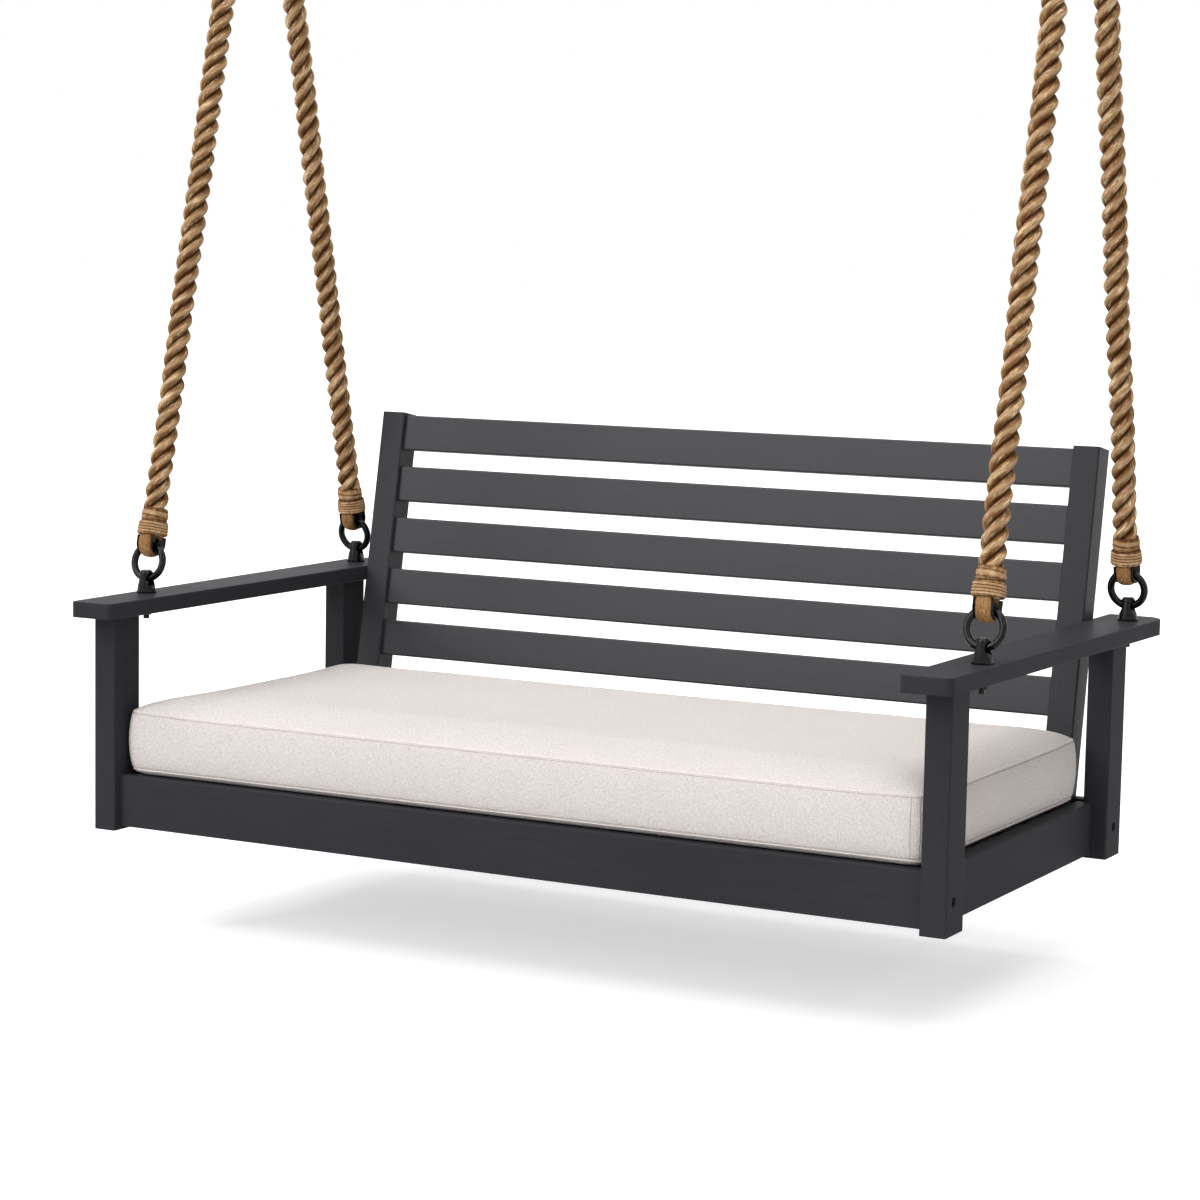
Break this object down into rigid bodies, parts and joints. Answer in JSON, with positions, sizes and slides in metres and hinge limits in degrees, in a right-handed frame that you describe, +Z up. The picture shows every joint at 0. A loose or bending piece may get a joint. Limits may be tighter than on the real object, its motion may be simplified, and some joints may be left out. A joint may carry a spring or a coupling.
{
  "type": "hanging bench",
  "caption": "Black porch swing bench with a slatted reclined back, flat armrests and a pale box cushion, hung by manila ropes from ceiling brackets.",
  "frame": {"origin": "centre of the four ceiling screw holes, on the upper faces of the two ceiling brackets", "axes": "+X along the bench towards its right end as seen from the front, +Y towards the back, +Z up"},
  "size_m": [1.5666, 0.891, 1.85],
  "materials": {
    "painted_wood": "satin charcoal-black paint",
    "dowel_wood": "bare beech",
    "black_metal": "satin black powder coat",
    "zinc_steel": "zinc plated",
    "linen_cushion": "off-white linen weave",
    "manila_rope": "three-strand tan manila",
    "twine": "flat tan twine"
  },
  "bodies": {
    "ceiling": {"ceiling_bracket_left": "black_metal", "ceiling_bracket_right": "black_metal", "hanger_pin_left": "zinc_steel", "hanger_pin_right": "zinc_steel"},
    "left_hanger": {"hanger_link_left": "black_metal"},
    "right_hanger": {"hanger_link_right": "black_metal"},
    "left_ropes": {"rope_front_left": "manila_rope", "rope_rear_left": "manila_rope", "thimbles_left": "black_metal", "whippings_left": "twine", "rings_left": "black_metal"},
    "right_ropes": {"rope_front_right": "manila_rope", "rope_rear_right": "manila_rope", "thimbles_right": "black_metal", "whippings_right": "twine", "rings_right": "black_metal"},
    "bench": {"front_left_post": "painted_wood", "front_right_post": "painted_wood", "rear_left_post": "painted_wood", "rear_right_post": "painted_wood", "front_rail": "painted_wood", "rear_rail": "painted_wood", "left_side_rail": "painted_wood", "right_side_rail": "painted_wood", "left_armrest": "painted_wood", "right_armrest": "painted_wood", "left_stile": "painted_wood", "right_stile": "painted_wood", "back_slat_1": "painted_wood", "back_slat_2": "painted_wood", "back_slat_3": "painted_wood", "back_slat_4": "painted_wood", "back_slat_5": "painted_wood", "seat_slat_1": "painted_wood", "seat_slat_2": "painted_wood", "seat_slat_3": "painted_wood", "seat_slat_4": "painted_wood", "seat_slat_5": "painted_wood", "seat_slat_6": "painted_wood", "left_seat_bearer": "painted_wood", "right_seat_bearer": "painted_wood", "left_seat_cleat": "painted_wood", "right_seat_cleat": "painted_wood", "cushion": "linen_cushion", "lug_front_left": "black_metal", "lug_front_right": "black_metal", "lug_rear_left": "black_metal", "lug_rear_right": "black_metal", "lug_washers": "zinc_steel", "lug_nuts": "zinc_steel", "rail_bolts": "black_metal", "rail_barrel_nuts": "zinc_steel", "side_rail_dowels": "dowel_wood", "arm_dowels": "dowel_wood", "back_slat_dowels": "dowel_wood", "stile_screws": "black_metal", "arm_bolts": "black_metal", "seat_slat_screws": "zinc_steel", "cleat_screws": "zinc_steel"}
  },
  "joints": [
    {"name": "swing_left", "type": "hinge", "parent": "ceiling", "child": "left_hanger", "pos_m": [-0.742, 0, -0.05], "axis": [1, 0, 0], "range_deg": [-25, 25]},
    {"name": "swing_right", "type": "hinge", "parent": "ceiling", "child": "right_hanger", "pos_m": [0.742, 0, -0.05], "axis": [1, 0, 0], "range_deg": [-25, 25]},
    {"name": "sway_left", "type": "hinge", "parent": "left_hanger", "child": "left_ropes", "pos_m": [-0.742, 0, -0.114], "axis": [0, 1, 0], "range_deg": [-6, 6]},
    {"name": "sway_right", "type": "hinge", "parent": "right_hanger", "child": "right_ropes", "pos_m": [0.742, 0, -0.114], "axis": [0, 1, 0], "range_deg": [-6, 6]},
    {"name": "bench_level", "type": "hinge", "parent": "left_ropes", "child": "bench", "pos_m": [-0.742, 0, -1.447], "axis": [0, 1, 0], "range_deg": [-6, 6]}
  ],
  "couplings": [
    {"joint": "swing_right", "follows": "swing_left", "ratio": 1},
    {"joint": "sway_right", "follows": "sway_left", "ratio": 1},
    {"joint": "bench_level", "follows": "sway_left", "ratio": -1}
  ]
}
